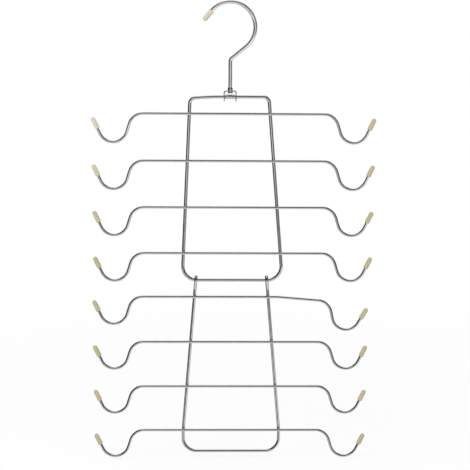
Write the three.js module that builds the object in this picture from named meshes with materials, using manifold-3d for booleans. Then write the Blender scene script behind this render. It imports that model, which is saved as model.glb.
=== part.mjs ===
// A hanging organizer for bras, as it hangs from a closet rod.
// Two wire frames hang one below the other from a swivelling hook, and carry eight cross bars.
// Each bar ends in two strap hooks, and every bare wire end wears a soft tip.
// Lengths are in millimetres. X runs to the right, Y to the back and Z up.
// The origin is the rod seat, on the inside of the hook's crown and above its shank.
import * as THREE from 'three';
import Module from 'manifold-3d';
import { mergeVertices } from 'three/addons/utils/BufferGeometryUtils.js';

const DEGREE = Math.PI / 180;
const X = new THREE.Vector3(1, 0, 0);
const Y = new THREE.Vector3(0, 1, 0);
const Z = new THREE.Vector3(0, 0, 1);

// Diameters of the four wires
const HOOK_WIRE = 4;
const UPPER_WIRE = 3.6;
const LOWER_WIRE = 3.4;
const BAR_WIRE = 3;

// Hook, from the crown down to the clip
const BOW_INNER_RADIUS = 24.3;
const BOW_END_ANGLE = 140 * DEGREE;
const DIAGONAL_SLOPE = 39 * DEGREE;
const NECK_BEND_RADIUS = 4.5;
const SHANK_LENGTH = 33;

// Swivel: a collar above the clip and the headed end of the shank below it
const COLLAR_DIAMETER = 5.4;
const COLLAR_LENGTH = 3;
const COLLAR_EDGE = 0.5;
const COLLAR_PLAY = 0.2;
const HEAD_DIAMETER = 5.6;
const HEAD_HEIGHT = 1.6;
const HEAD_EDGE = 0.6;
const SWIVEL_CLEARANCE = 0.25;

// Clip: a bent strip whose legs straddle the top rail
const CLIP_WIDTH = 14.2;
const CLIP_THICKNESS = 1.2;
const CLIP_DEPTH = 8;
const CLIP_RISE = 6.6;
const CLIP_DROP = 4.9;
const CLIP_SHOULDER_RADIUS = 3;
const CLIP_LEAN = 0.3;
const ROCK_CLEARANCE = 0.25;

// Sleeve on the top rail, which covers the butt joint of the upper frame's wire
const SLEEVE_DIAMETER = 4.8;
const SLEEVE_END_GAP = 0.4;
const BUTT_GAP = 0.4;

// Upper frame, between the centrelines of its rails and side wires
const UPPER_HEIGHT = 201.3;
const UPPER_TOP_WIDTH = 84.8;
const UPPER_FOOT_WIDTH = 110.5;
const UPPER_TOP_RADIUS = 6.5;
const UPPER_FOOT_RADIUS = 15.5;
const UPPER_TOP_SHIFT = -0.7;
const UPPER_SWAY = 4.35;

// The left half of the top rail falls a little to its corner, from a wide bend beside the clip
const LEFT_CORNER_FALL = 1.6;
const RAIL_BEND_OFFSET = 9.9;
const RAIL_BEND_RADIUS = 300;

// Lower frame, which hangs from the upper frame's foot rail by two curled eyes
const LOWER_HEIGHT = 200.3;
const LOWER_EYE_WIDTH = 78.5;
const LOWER_FOOT_WIDTH = 108.4;
const LOWER_FOOT_RADIUS = 15;
const LOWER_KNEE_RADIUS = 40;
const LOWER_EYE_SHIFT = -1.05;
const LOWER_SWAY = 0.8;
const EYE_ANGLE = 203 * DEGREE;
const EYE_TAIL = 9.4;
const EYE_CLEARANCE = 0.25;

// Places of the bars: from the top rail to the first bar, and from the last bar to the foot rail
const UPPER_BAR_COUNT = 4;
const UPPER_FIRST_BAR = 18;
const UPPER_LAST_BAR = 30.9;
const UPPER_BAR_SHIFT = 0.45;
const LOWER_BAR_COUNT = 4;
const LOWER_FIRST_BAR = 19.2;
const LOWER_LAST_BAR = 26.1;
const LOWER_BAR_SHIFT = -1.3;

// Bar: the span between the bottoms of its strap cups, and the bends of one arm from the middle out
const BAR_SPAN = 259.5;
const SHOULDER_RADIUS = 16.5;
const SHOULDER_ANGLE = 72.4 * DEGREE;
const ARM_NECK = 9.1;
const CUP_RADIUS = 15.3;
const CUP_ANGLE = 137 * DEGREE;
const ARM_RISE = 17.6;

// The fifth bar's right arm droops from just outside the frame and is shorter, as on the real one
const DROOP_BAR = 5;
const DROOP_START = 49;
const DROOP_RADIUS = 60;
const DROOP_ANGLE = 4.8 * DEGREE;
const DROOP_SHORTER = 4.4;

// Soft tips, pushed over the wire ends
const TIP_LENGTH = 13;
const TIP_WALL = 0.9;
const TIP_END = 1.9;
const TIP_LIP = 0.4;
const HOOK_TIP_WALL = 0.7;
const PUSH_GAP = 0.12;

// Facets: flats round a section, and the turn that one straight piece of a bend takes
const FRAME_SIDES = 12;
const BAR_SIDES = 8;
const ROUND_SIDES = 12;
const HOLE_SIDES = 24;
const DOME_STEPS = 4;
const ARC_STEPS = 6;
const BEND_STEP = 12 * DEGREE;

// How far a cutter runs past what it cuts
const CUT_OVERRUN = 1;

// Levels and widths that follow from the sizes above
const bowRadius = BOW_INNER_RADIUS + HOOK_WIRE / 2;
const neckZ = -BOW_INNER_RADIUS - bowRadius / Math.cos(DIAGONAL_SLOPE);
const clipTopZ = neckZ - SHANK_LENGTH;
const topRailZ = clipTopZ - CLIP_RISE;
const upperFootX = UPPER_TOP_SHIFT + UPPER_SWAY;
const lowerEyeX = upperFootX + LOWER_EYE_SHIFT;
const lowerFootX = lowerEyeX + LOWER_SWAY;
const upperPitch = (UPPER_HEIGHT - UPPER_FIRST_BAR - UPPER_LAST_BAR) / (UPPER_BAR_COUNT - 1);
const lowerPitch = (LOWER_HEIGHT - LOWER_FIRST_BAR - LOWER_LAST_BAR) / (LOWER_BAR_COUNT - 1);
const cupReach = (SHOULDER_RADIUS + CUP_RADIUS) * Math.sin(SHOULDER_ANGLE);
const armStraight = BAR_SPAN / 2 - cupReach - ARM_NECK * Math.cos(SHOULDER_ANGLE);
const eyeRadius = cornerRadius(UPPER_WIRE, FRAME_SIDES) + EYE_CLEARANCE + LOWER_WIRE / 2;

const wasm = await Module();
wasm.setup();

// The radius to a corner of a wire's section, whose flats lie at the wire's own radius
function cornerRadius(diameter, sides) {
  return diameter / 2 / Math.cos(Math.PI / sides);
}

// The radius at which a round hole's corners stand, so that its flats clear a given radius
function holeRadius(clearRadius) {
  return clearRadius / Math.cos(Math.PI / HOLE_SIDES);
}

// A wire bender, which feeds straight lengths, bends them and keeps the centreline
class Bender {
  constructor(start, heading) {
    this.route = [start.clone()];
    this.heading = heading.clone();
  }

  feed(length) {
    this.route.push(this.route.at(-1).clone().addScaledVector(this.heading, length));
    return this;
  }

  bend(angle, radius, axis) {
    const steps = Math.ceil(Math.abs(angle) / BEND_STEP);
    const turn = new THREE.Quaternion().setFromAxisAngle(axis, angle / steps);
    const towardsCentre = new THREE.Vector3().crossVectors(axis, this.heading);
    towardsCentre.multiplyScalar(radius * Math.sign(angle));
    const centre = this.route.at(-1).clone().add(towardsCentre);
    const spoke = towardsCentre.negate();
    for (let step = 0; step < steps; step += 1) {
      spoke.applyQuaternion(turn);
      this.route.push(centre.clone().add(spoke));
      this.heading.applyQuaternion(turn);
    }
    return this;
  }

  // Follows straight lines between corners in the plane of X and Z, rounded to each corner's radius
  follow(corners) {
    let inset = 0;
    corners.forEach(({ point, radius = 0 }, i) => {
      const next = corners[i + 1];
      const onward = next ? next.point.clone().sub(point).normalize() : this.heading;
      const turn = Math.atan2(this.heading.clone().cross(onward).dot(Y), this.heading.dot(onward));
      const nextInset = radius * Math.tan(Math.abs(turn) / 2);
      const from = i === 0 ? this.route[0] : corners[i - 1].point;
      this.feed(from.distanceTo(point) - inset - nextInset);
      if (next) this.bend(turn, radius, Y);
      inset = nextInset;
    });
    return this;
  }
}

// A wire as one closed mesh of straight pieces, mitred where they meet
// Two flats of its section face along the axis named sideways and against it.
function wireGeometry(route, diameter, sides, sideways) {
  const corner = cornerRadius(diameter, sides);
  const headings = route.slice(1).map((point, i) => point.clone().sub(route[i]).normalize());
  const across = sideways.clone().projectOnPlane(headings[0]).normalize();
  const positions = [];
  route.forEach((point, i) => {
    const before = headings[Math.max(i - 1, 0)];
    const after = headings[Math.min(i, headings.length - 1)];
    const miter = before.clone().add(after).normalize();
    const upright = new THREE.Vector3().crossVectors(before, across);
    for (let side = 0; side < sides; side += 1) {
      const angle = ((2 * side + 1) * Math.PI) / sides;
      const spoke = across.clone().multiplyScalar(corner * Math.cos(angle));
      spoke.addScaledVector(upright, corner * Math.sin(angle));
      spoke.addScaledVector(before, -spoke.dot(miter) / before.dot(miter));
      positions.push(...spoke.add(point).toArray());
    }
    across.applyQuaternion(new THREE.Quaternion().setFromUnitVectors(before, after));
  });
  const geometry = new THREE.BufferGeometry();
  geometry.setAttribute('position', new THREE.Float32BufferAttribute(positions, 3));
  geometry.setIndex(tubeFaces(route.length, sides));
  return geometry;
}

// Triangles of a tube of rings, closed with a fan at each end
function tubeFaces(rings, sides) {
  const faces = [];
  for (let ring = 0; ring < rings - 1; ring += 1) {
    for (let side = 0; side < sides; side += 1) {
      const a = ring * sides + side;
      const b = ring * sides + ((side + 1) % sides);
      faces.push(a, b, b + sides, a, b + sides, a + sides);
    }
  }
  const last = (rings - 1) * sides;
  for (let side = 1; side < sides - 1; side += 1) {
    faces.push(0, side + 1, side);
    faces.push(last, last + side, last + side + 1);
  }
  return faces;
}

// A turned solid from radius and height pairs, standing along Z
function turned(profile, sides) {
  const points = profile.map(([radius, height]) => new THREE.Vector2(radius, height));
  return new THREE.LatheGeometry(points, sides).rotateX(Math.PI / 2);
}

// A turned ring with chamfered outer edges, from its lower face up
function ringGeometry(innerRadius, outerRadius, length, edge) {
  return turned(
    [
      [innerRadius, 0],
      [outerRadius - edge, 0],
      [outerRadius, edge],
      [outerRadius, length - edge],
      [outerRadius - edge, length],
      [innerRadius, length],
      [innerRadius, 0],
    ],
    HOLE_SIDES,
  );
}

// Solids for joining and cutting
function solid(geometry) {
  const bare = geometry.index ? geometry.toNonIndexed() : geometry.clone();
  bare.deleteAttribute('normal');
  bare.deleteAttribute('uv');
  const merged = mergeVertices(bare);
  return new wasm.Manifold(
    new wasm.Mesh({
      numProp: 3,
      vertProperties: merged.attributes.position.array,
      triVerts: new Uint32Array(merged.index.array),
    }),
  );
}

function geometryOf(made) {
  const mesh = made.getMesh();
  const geometry = new THREE.BufferGeometry();
  geometry.setAttribute('position', new THREE.Float32BufferAttribute(mesh.vertProperties, 3));
  geometry.setIndex([...mesh.triVerts]);
  return geometry;
}

// A drill: a round cutter of a clear radius, centred on the origin and lying along Z
function drill(clearRadius, length) {
  const radius = holeRadius(clearRadius);
  return new THREE.CylinderGeometry(radius, radius, length, HOLE_SIDES).rotateX(Math.PI / 2);
}

// An outline drawn in X and Z, given a depth that runs from the plane of X and Z towards the front
function pressed(outline, depth) {
  const settings = { depth, bevelEnabled: false, curveSegments: ARC_STEPS };
  return new THREE.ExtrudeGeometry(outline, settings).rotateX(Math.PI / 2);
}

// Chrome plate and soft vinyl
function chrome() {
  return new THREE.MeshStandardMaterial({ color: 0xc4c6c8, metalness: 1, roughness: 0.12 });
}

function vinyl() {
  return new THREE.MeshStandardMaterial({ color: 0xcfc3a0, metalness: 0, roughness: 0.6 });
}

function piece(name, geometry, material) {
  const flatShaded = geometry.index ? geometry.toNonIndexed() : geometry;
  flatShaded.computeVertexNormals();
  const mesh = new THREE.Mesh(flatShaded, material);
  mesh.name = name;
  return mesh;
}

// A soft tip with a domed end and a blind bore, from its mouth at the origin up along Z
function tipGeometry(wireCorner, wall) {
  const bore = (wireCorner + PUSH_GAP) / Math.cos(Math.PI / ROUND_SIDES);
  const outer = bore + wall;
  const boreDepth = TIP_LENGTH - TIP_END;
  const profile = [
    [0, boreDepth],
    [bore, boreDepth],
    [bore, 0],
    [outer - TIP_LIP, 0],
    [outer, TIP_LIP],
  ];
  for (let step = 0; step < DOME_STEPS; step += 1) {
    const angle = (step / DOME_STEPS) * (Math.PI / 2);
    profile.push([outer * Math.cos(angle), boreDepth + TIP_END * Math.sin(angle)]);
  }
  profile.push([0, TIP_LENGTH]);
  return turned(profile, ROUND_SIDES);
}

// Pushes a tip over the end of a wire, which stops just short of the bottom of its bore
function tipOn(name, route, diameter, sides, wall) {
  const end = route.at(-1);
  const heading = end.clone().sub(route.at(-2)).normalize();
  const tip = piece(name, tipGeometry(cornerRadius(diameter, sides), wall), vinyl());
  tip.position.copy(end).addScaledVector(heading, PUSH_GAP - (TIP_LENGTH - TIP_END));
  tip.quaternion.setFromUnitVectors(Z, heading);
  return tip;
}

// Hook: a shank with a headed end, a diagonal and a round bow, bent from one wire
function makeHook() {
  const headTopZ = clipTopZ - CLIP_THICKNESS;
  const neckTurn = Math.PI / 2 - DIAGONAL_SLOPE;
  const neckInset = NECK_BEND_RADIUS * Math.tan(neckTurn / 2);
  const start = new THREE.Vector3(0, 0, headTopZ - HEAD_HEIGHT / 2);
  const bender = new Bender(start, Z)
    .feed(neckZ - neckInset - start.z)
    .bend(neckTurn, NECK_BEND_RADIUS, Y)
    .feed(bowRadius * Math.tan(DIAGONAL_SLOPE) - neckInset)
    .bend(-(neckTurn + BOW_END_ANGLE), bowRadius, Y)
    .feed(TIP_LENGTH - TIP_END);
  const head = turned(
    [
      [0, headTopZ - HEAD_HEIGHT],
      [HEAD_DIAMETER / 2 - HEAD_EDGE, headTopZ - HEAD_HEIGHT],
      [HEAD_DIAMETER / 2, headTopZ - HEAD_HEIGHT + HEAD_EDGE],
      [HEAD_DIAMETER / 2, headTopZ],
      [0, headTopZ],
    ],
    HOLE_SIDES,
  );
  const wire = wireGeometry(bender.route, HOOK_WIRE, FRAME_SIDES, Y);
  const collar = ringGeometry(
    holeRadius(cornerRadius(HOOK_WIRE, FRAME_SIDES) + PUSH_GAP),
    COLLAR_DIAMETER / 2,
    COLLAR_LENGTH,
    COLLAR_EDGE,
  );
  const collarMesh = piece('swivel_collar', collar, chrome());
  collarMesh.position.z = clipTopZ + COLLAR_PLAY;
  const hook = new THREE.Group();
  hook.add(piece('hook_wire', geometryOf(solid(wire).add(solid(head))), chrome()));
  hook.add(tipOn('hook_tip', bender.route, HOOK_WIRE, FRAME_SIDES, HOOK_TIP_WALL));
  hook.add(collarMesh);
  return hook;
}

// Clip: an arch of flat strip with rounded feet, drilled for the shank and for the top rail
function makeClip() {
  const half = CLIP_WIDTH / 2;
  const inner = half - CLIP_THICKNESS;
  const shoulderZ = CLIP_RISE - CLIP_SHOULDER_RADIUS;
  const innerRadius = CLIP_SHOULDER_RADIUS - CLIP_THICKNESS;
  const arch = new THREE.Shape();
  arch.moveTo(half - CLIP_LEAN, -CLIP_DROP);
  arch.lineTo(half, shoulderZ);
  arch.absarc(half - CLIP_SHOULDER_RADIUS, shoulderZ, CLIP_SHOULDER_RADIUS, 0, Math.PI / 2);
  arch.absarc(CLIP_SHOULDER_RADIUS - half, shoulderZ, CLIP_SHOULDER_RADIUS, Math.PI / 2, Math.PI);
  arch.lineTo(CLIP_LEAN - half, -CLIP_DROP);
  arch.lineTo(CLIP_LEAN - inner, -CLIP_DROP);
  arch.lineTo(-inner, shoulderZ);
  arch.absarc(innerRadius - inner, shoulderZ, innerRadius, Math.PI, Math.PI / 2, true);
  arch.absarc(inner - innerRadius, shoulderZ, innerRadius, Math.PI / 2, 0, true);
  arch.lineTo(inner - CLIP_LEAN, -CLIP_DROP);
  const strip = pressed(arch, CLIP_DEPTH).translate(0, CLIP_DEPTH / 2, 0);

  const side = new THREE.Shape();
  side.moveTo(-CLIP_DEPTH / 2, CLIP_RISE + CUT_OVERRUN);
  side.absarc(0, CLIP_DEPTH / 2 - CLIP_DROP, CLIP_DEPTH / 2, Math.PI, 2 * Math.PI);
  side.lineTo(CLIP_DEPTH / 2, CLIP_RISE + CUT_OVERRUN);
  const across = CLIP_WIDTH + 2 * CUT_OVERRUN;
  const blank = pressed(side, across).rotateZ(Math.PI / 2).translate(-across / 2, 0, 0);

  const holeLength = 2 * (CLIP_THICKNESS + CUT_OVERRUN);
  const shankHole = drill(cornerRadius(HOOK_WIRE, FRAME_SIDES) + SWIVEL_CLEARANCE, holeLength);
  shankHole.translate(0, 0, CLIP_RISE);
  const railHole = drill(cornerRadius(UPPER_WIRE, FRAME_SIDES) + ROCK_CLEARANCE, across);
  railHole.rotateY(Math.PI / 2);
  const made = solid(strip).intersect(solid(blank)).subtract(solid(shankHole)).subtract(solid(railHole));

  const clip = new THREE.Group();
  clip.position.z = topRailZ;
  clip.add(piece('swivel_clip', geometryOf(made), chrome()));
  return clip;
}

// Sleeve: a short tube crimped round the top rail between the clip's legs
function makeSleeve() {
  const length = CLIP_WIDTH - 2 * (CLIP_THICKNESS + CLIP_LEAN + SLEEVE_END_GAP);
  const bore = holeRadius(cornerRadius(UPPER_WIRE, FRAME_SIDES) + PUSH_GAP);
  const tube = ringGeometry(bore, SLEEVE_DIAMETER / 2, length, 0);
  return piece('rail_sleeve', tube.translate(0, 0, -length / 2).rotateY(Math.PI / 2), chrome());
}

// Upper frame: one wire bent into a loop that widens downwards, its ends meeting in the sleeve
function makeUpperFrame() {
  const start = new THREE.Vector3(BUTT_GAP / 2, 0, 0);
  const corner = (x, z, radius) => ({ point: new THREE.Vector3(x, 0, z), radius });
  const bender = new Bender(start, X).follow([
    corner(UPPER_TOP_SHIFT + UPPER_TOP_WIDTH / 2, 0, UPPER_TOP_RADIUS),
    corner(upperFootX + UPPER_FOOT_WIDTH / 2, -UPPER_HEIGHT, UPPER_FOOT_RADIUS),
    corner(upperFootX - UPPER_FOOT_WIDTH / 2, -UPPER_HEIGHT, UPPER_FOOT_RADIUS),
    corner(UPPER_TOP_SHIFT - UPPER_TOP_WIDTH / 2, -LEFT_CORNER_FALL, UPPER_TOP_RADIUS),
    corner(-CLIP_WIDTH / 2 - RAIL_BEND_OFFSET, 0, RAIL_BEND_RADIUS),
    corner(-BUTT_GAP / 2, 0),
  ]);
  return piece('upper_frame', wireGeometry(bender.route, UPPER_WIRE, FRAME_SIDES, Y), chrome());
}

// One half of the lower frame, from the middle of its foot rail up to the curled eye,
// whose tail comes down in front and back towards the side wire
function lowerHalf(side) {
  const kneeZ = LOWER_LAST_BAR - LOWER_HEIGHT;
  const footX = lowerFootX + (side * LOWER_FOOT_WIDTH) / 2;
  const eyeX = lowerEyeX + (side * LOWER_EYE_WIDTH) / 2;
  const corner = (x, z, radius) => ({ point: new THREE.Vector3(x, eyeRadius, z), radius });
  const start = new THREE.Vector3(lowerFootX, eyeRadius, -LOWER_HEIGHT);
  const bender = new Bender(start, X.clone().multiplyScalar(side)).follow([
    corner(footX, -LOWER_HEIGHT, LOWER_FOOT_RADIUS),
    corner(footX, kneeZ, LOWER_KNEE_RADIUS),
    corner(eyeX, 0),
  ]);
  const eyeAxis = Y.clone().cross(bender.heading);
  bender.bend(EYE_ANGLE, eyeRadius, eyeAxis).feed(EYE_TAIL);
  return { route: bender.route, eyeAxis };
}

// Lower frame: one wire, whose two ends curl over the rail that it hangs from
function makeLowerFrame() {
  const left = lowerHalf(-1);
  const right = lowerHalf(1);
  const route = [...left.route.reverse(), ...right.route.slice(1)];
  return piece('lower_frame', wireGeometry(route, LOWER_WIRE, FRAME_SIDES, left.eyeAxis), chrome());
}

// One arm of a bar: out along the bar, down over the shoulder and up round the strap cup
function armRoute(droops) {
  const bender = new Bender(new THREE.Vector3(), X);
  if (droops) {
    const beyond = armStraight - DROOP_START - DROOP_SHORTER;
    bender.feed(DROOP_START).bend(DROOP_ANGLE, DROOP_RADIUS, Y).feed(beyond);
  } else {
    bender.feed(armStraight);
  }
  return bender
    .bend(SHOULDER_ANGLE, SHOULDER_RADIUS, Y)
    .feed(ARM_NECK)
    .bend(-CUP_ANGLE, CUP_RADIUS, Y)
    .feed(ARM_RISE).route;
}

function mirrored(route) {
  return route.map((point) => point.clone().multiply(new THREE.Vector3(-1, 1, 1)));
}

// Bar: a wire welded across the front of a frame, with its two tips
function makeBar(number, x, y, z) {
  const right = armRoute(number === DROOP_BAR);
  const left = mirrored(armRoute(false));
  const route = [...left.slice(1).reverse(), ...right];
  const bar = new THREE.Group();
  bar.position.set(x, y, z);
  bar.add(piece(`strap_bar_${number}`, wireGeometry(route, BAR_WIRE, BAR_SIDES, Y), chrome()));
  bar.add(tipOn(`bar_${number}_tip_left`, left, BAR_WIRE, BAR_SIDES, TIP_WALL));
  bar.add(tipOn(`bar_${number}_tip_right`, right, BAR_WIRE, BAR_SIDES, TIP_WALL));
  return bar;
}

// The bars' flats lie on the flats of the wires that they cross.
const upperTier = new THREE.Group();
upperTier.position.z = topRailZ;
upperTier.add(makeUpperFrame(), makeSleeve());
for (let i = 0; i < UPPER_BAR_COUNT; i += 1) {
  const z = -UPPER_FIRST_BAR - i * upperPitch;
  upperTier.add(makeBar(i + 1, upperFootX + UPPER_BAR_SHIFT, -(UPPER_WIRE + BAR_WIRE) / 2, z));
}

const lowerTier = new THREE.Group();
lowerTier.position.z = -UPPER_HEIGHT;
lowerTier.add(makeLowerFrame());
for (let i = 0; i < LOWER_BAR_COUNT; i += 1) {
  const z = -LOWER_FIRST_BAR - i * lowerPitch;
  const y = eyeRadius - (LOWER_WIRE + BAR_WIRE) / 2;
  lowerTier.add(makeBar(UPPER_BAR_COUNT + i + 1, lowerFootX + LOWER_BAR_SHIFT, y, z));
}
upperTier.add(lowerTier);

const organizer = new THREE.Group();
organizer.add(makeHook(), makeClip(), upperTier);
export default organizer;
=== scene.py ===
# %% [markdown]
# # A hanging organizer of chrome wire
#
# Two wire frames hang one below the other from a swivelling hook. Each carries four cross bars,
# and each bar ends in two strap hooks with soft vinyl tips. The CAD model gives every size and
# place. This lesson gives each piece its round wire, its small fittings and its finish.

# %% Load the fixed frame
import math

import bmesh
import bpy
from mathutils import Matrix, Quaternion, Vector


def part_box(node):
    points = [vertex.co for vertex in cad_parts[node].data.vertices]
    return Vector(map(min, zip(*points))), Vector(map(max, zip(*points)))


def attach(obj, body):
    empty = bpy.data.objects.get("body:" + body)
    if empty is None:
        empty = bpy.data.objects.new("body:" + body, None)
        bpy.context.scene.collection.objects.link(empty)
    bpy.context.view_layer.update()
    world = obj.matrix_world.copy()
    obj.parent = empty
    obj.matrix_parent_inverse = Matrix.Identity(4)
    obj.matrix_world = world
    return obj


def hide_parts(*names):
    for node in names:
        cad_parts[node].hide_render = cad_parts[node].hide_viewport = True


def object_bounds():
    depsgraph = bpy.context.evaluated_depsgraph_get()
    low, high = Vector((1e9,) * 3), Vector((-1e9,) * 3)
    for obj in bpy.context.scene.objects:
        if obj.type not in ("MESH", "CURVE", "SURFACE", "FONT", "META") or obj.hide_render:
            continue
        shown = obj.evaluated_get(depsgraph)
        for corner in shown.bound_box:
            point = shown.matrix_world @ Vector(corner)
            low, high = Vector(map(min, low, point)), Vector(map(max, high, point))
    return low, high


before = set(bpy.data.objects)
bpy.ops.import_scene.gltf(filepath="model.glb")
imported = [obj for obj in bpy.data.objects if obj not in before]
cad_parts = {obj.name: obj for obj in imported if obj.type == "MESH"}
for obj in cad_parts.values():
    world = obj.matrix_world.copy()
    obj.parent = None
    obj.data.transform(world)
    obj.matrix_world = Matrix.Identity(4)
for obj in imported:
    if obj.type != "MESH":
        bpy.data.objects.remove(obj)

scene = bpy.context.scene
cad_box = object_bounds()
MM = 0.001
print("CAD box in mm:", [[round(v / MM, 2) for v in corner] for corner in cad_box])

# %% [markdown]
# ## Sizes
#
# A wire bender works from a drawing in millimetres: wire sizes, the formers that the wire is bent
# round, and the straight lengths between bends. The same numbers as in the CAD model are used
# here, so each wire lands on its faceted stand-in. X runs to the right, Y to the back and Z up,
# and the origin is the inside of the hook's crown. The frames and bars aren't quite centred below
# the hook, as on the photographed hanger, so each has the place of its middle.

# %% Sizes in millimetres
HOOK_WIRE, UPPER_WIRE, LOWER_WIRE, BAR_WIRE = 4.0, 3.6, 3.4, 3.0
BOW_RADIUS, BOW_END, DIAGONAL_SLOPE, NECK_BEND, SHANK = 26.3, 140.0, 39.0, 4.5, 33.0
CLIP_THICKNESS, CLIP_RISE, HEAD_HEIGHT = 1.2, 6.6, 1.6
UPPER_HEIGHT, UPPER_TOP, UPPER_FOOT, UPPER_TOP_BEND, UPPER_FOOT_BEND = 201.3, 84.8, 110.5, 6.5, 15.5
LEFT_CORNER_FALL, RAIL_BEND_PLACE, RAIL_BEND = 1.6, 17.0, 300.0
LOWER_HEIGHT, LOWER_EYES, LOWER_FOOT, LOWER_FOOT_BEND, KNEE_BEND = 200.3, 78.5, 108.4, 15.0, 40.0
EYE_ANGLE, EYE_RADIUS, EYE_TAIL = 203.0, 3.8135, 9.4
UPPER_FIRST_BAR, UPPER_LAST_BAR, LOWER_FIRST_BAR, LOWER_LAST_BAR = 18.0, 170.4, 19.2, 174.2
BAR_SPAN, SHOULDER_BEND, SHOULDER_ANGLE, ARM_NECK = 259.5, 16.5, 72.4, 9.1
CUP_BEND, CUP_ANGLE, ARM_RISE = 15.3, 137.0, 17.6
DROOP_START, DROOP_BEND, DROOP_ANGLE, DROOP_SHORTER = 49.0, 60.0, 4.8, 4.4
TIP_LENGTH, TIP_END, PUSH_PLAY = 13.0, 1.9, 0.02
UPPER_TOP_MIDDLE, UPPER_FOOT_MIDDLE, LOWER_EYES_MIDDLE, LOWER_FOOT_MIDDLE = -0.7, 3.65, 2.6, 3.4
UPPER_BARS_MIDDLE, LOWER_BARS_MIDDLE, BARS_PER_FRAME = 4.1, 2.1, 4

neck_z = -(BOW_RADIUS - HOOK_WIRE / 2) - BOW_RADIUS / math.cos(math.radians(DIAGONAL_SLOPE))
clip_top_z = neck_z - SHANK
top_rail_z = clip_top_z - CLIP_RISE
hinge_z = top_rail_z - UPPER_HEIGHT
upper_bar_y = -(UPPER_WIRE + BAR_WIRE) / 2
lower_bar_y = EYE_RADIUS - (LOWER_WIRE + BAR_WIRE) / 2


def even_drops(first, last):
    """How far the bars of a frame lie below its top, at an even pitch."""
    return [first + (last - first) * i / (BARS_PER_FRAME - 1) for i in range(BARS_PER_FRAME)]


upper_drops = even_drops(UPPER_FIRST_BAR, UPPER_LAST_BAR)
lower_drops = even_drops(LOWER_FIRST_BAR, LOWER_LAST_BAR)
print("top rail at", round(top_rail_z, 2), "mm, hinge at", round(hinge_z, 2), "mm")
print("bar pitch in mm:", [round(drops[1] - drops[0], 2) for drops in (upper_drops, lower_drops)])

# %% [markdown]
# ## Helpers
#
# Colours are picked on a screen as sRGB hex values, while a shader works in linear light, so one
# function turns the first into the second. Another adds a node to any tree with its settings and
# links, which keeps each material and each Geometry Nodes tree readable from top to bottom. The
# camera, the lamps and all the pieces are put in the scene in one and the same way.

# %% Scene, colour and node helpers
def put_in_scene(name, data):
    """Makes an object of a mesh, a lamp or a camera, and links it to the scene."""
    made = bpy.data.objects.new(name, data)
    scene.collection.objects.link(made)
    return made


def linear(hex_code):
    """Gives linear red, green, blue and alpha for an sRGB hex colour."""
    shares = [int(hex_code[i:i + 2], 16) / 255 for i in (1, 3, 5)]
    return [s / 12.92 if s <= 0.04045 else ((s + 0.055) / 1.055) ** 2.4 for s in shares] + [1.0]


def add(tree, kind, inputs=None, **settings):
    """Adds a node. Each input is a value, or the output socket that feeds it."""
    made = tree.nodes.new(kind)
    for name, value in settings.items():
        setattr(made, name, value)
    for key, value in (inputs or {}).items():
        if isinstance(value, bpy.types.NodeSocket):
            tree.links.new(value, made.inputs[key])
        else:
            made.inputs[key].default_value = value
    return made


def empty_tree(owner):
    """Switches on the nodes of a material or a world, and gives its tree with nothing in it."""
    owner.use_nodes = True
    owner.node_tree.nodes.clear()
    return owner.node_tree


def fill_ramp(ramp_node, stops, interpolation="EASE"):
    """Sets a colour ramp's stops from pairs of place and hex colour."""
    ramp = ramp_node.color_ramp
    ramp.interpolation = interpolation
    while len(ramp.elements) < len(stops):
        ramp.elements.new(0.5)
    for element, (place, shade) in zip(ramp.elements, stops):
        element.position = place
        element.color = linear(shade)
    return ramp_node


print("white is", linear("#FFFFFF"))

# %% [markdown]
# ## Camera
#
# The picture was taken from about the height of the hook, 1.2 m away, with a long lens that looks
# down by ten degrees. A camera turned by hand would come close. Pitch, yaw and roll were solved
# from the places of the wires instead, so that the wires fall on those of the photograph, and the
# camera's three axes are built up from them.

# %% Camera
LENS_PIXELS, FRAME_PIXELS, SENSOR = 1093.5, 470, 36.0
AIM, DISTANCE = Vector((6.27, 0, -248.37)) * MM, 1.2
pitch, yaw, roll = (math.radians(a) for a in (10.257, 1.323, 0.426))

forward = Vector((math.sin(yaw) * math.cos(pitch), math.cos(yaw) * math.cos(pitch), -math.sin(pitch)))
level = Vector((math.cos(yaw), -math.sin(yaw), 0))
upright = level.cross(forward)
right = math.cos(roll) * level + math.sin(roll) * upright
above = -math.sin(roll) * level + math.cos(roll) * upright

lens = bpy.data.cameras.new("camera")
lens.sensor_width = SENSOR
lens.lens = LENS_PIXELS / FRAME_PIXELS * SENSOR
camera = put_in_scene("camera", lens)
camera.matrix_world = Matrix.Translation(AIM - DISTANCE * forward) @ Matrix(
    (right, above, -forward)).transposed().to_4x4()
scene.camera = camera
scene.view_settings.view_transform = "Standard"
print("camera at", [round(v, 3) for v in camera.location], "lens", round(lens.lens, 1), "mm")

# %% [markdown]
# ## Studio
#
# Chrome has no colour of its own: it shows the room. A photographer puts shiny metal in a white
# tent and hangs black cards in it, so that each wire gets dark lines along a light core and doesn't
# melt into the white. The tent could be a real box of panels, but as a function of the direction
# that a ray takes it costs no light and no noise. The camera sees plain white, the metal sees the
# tent with its cards, and an even, dimmer white lights the matt surfaces. The tent is a little grey
# towards the floor, where the object shades it.

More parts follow.
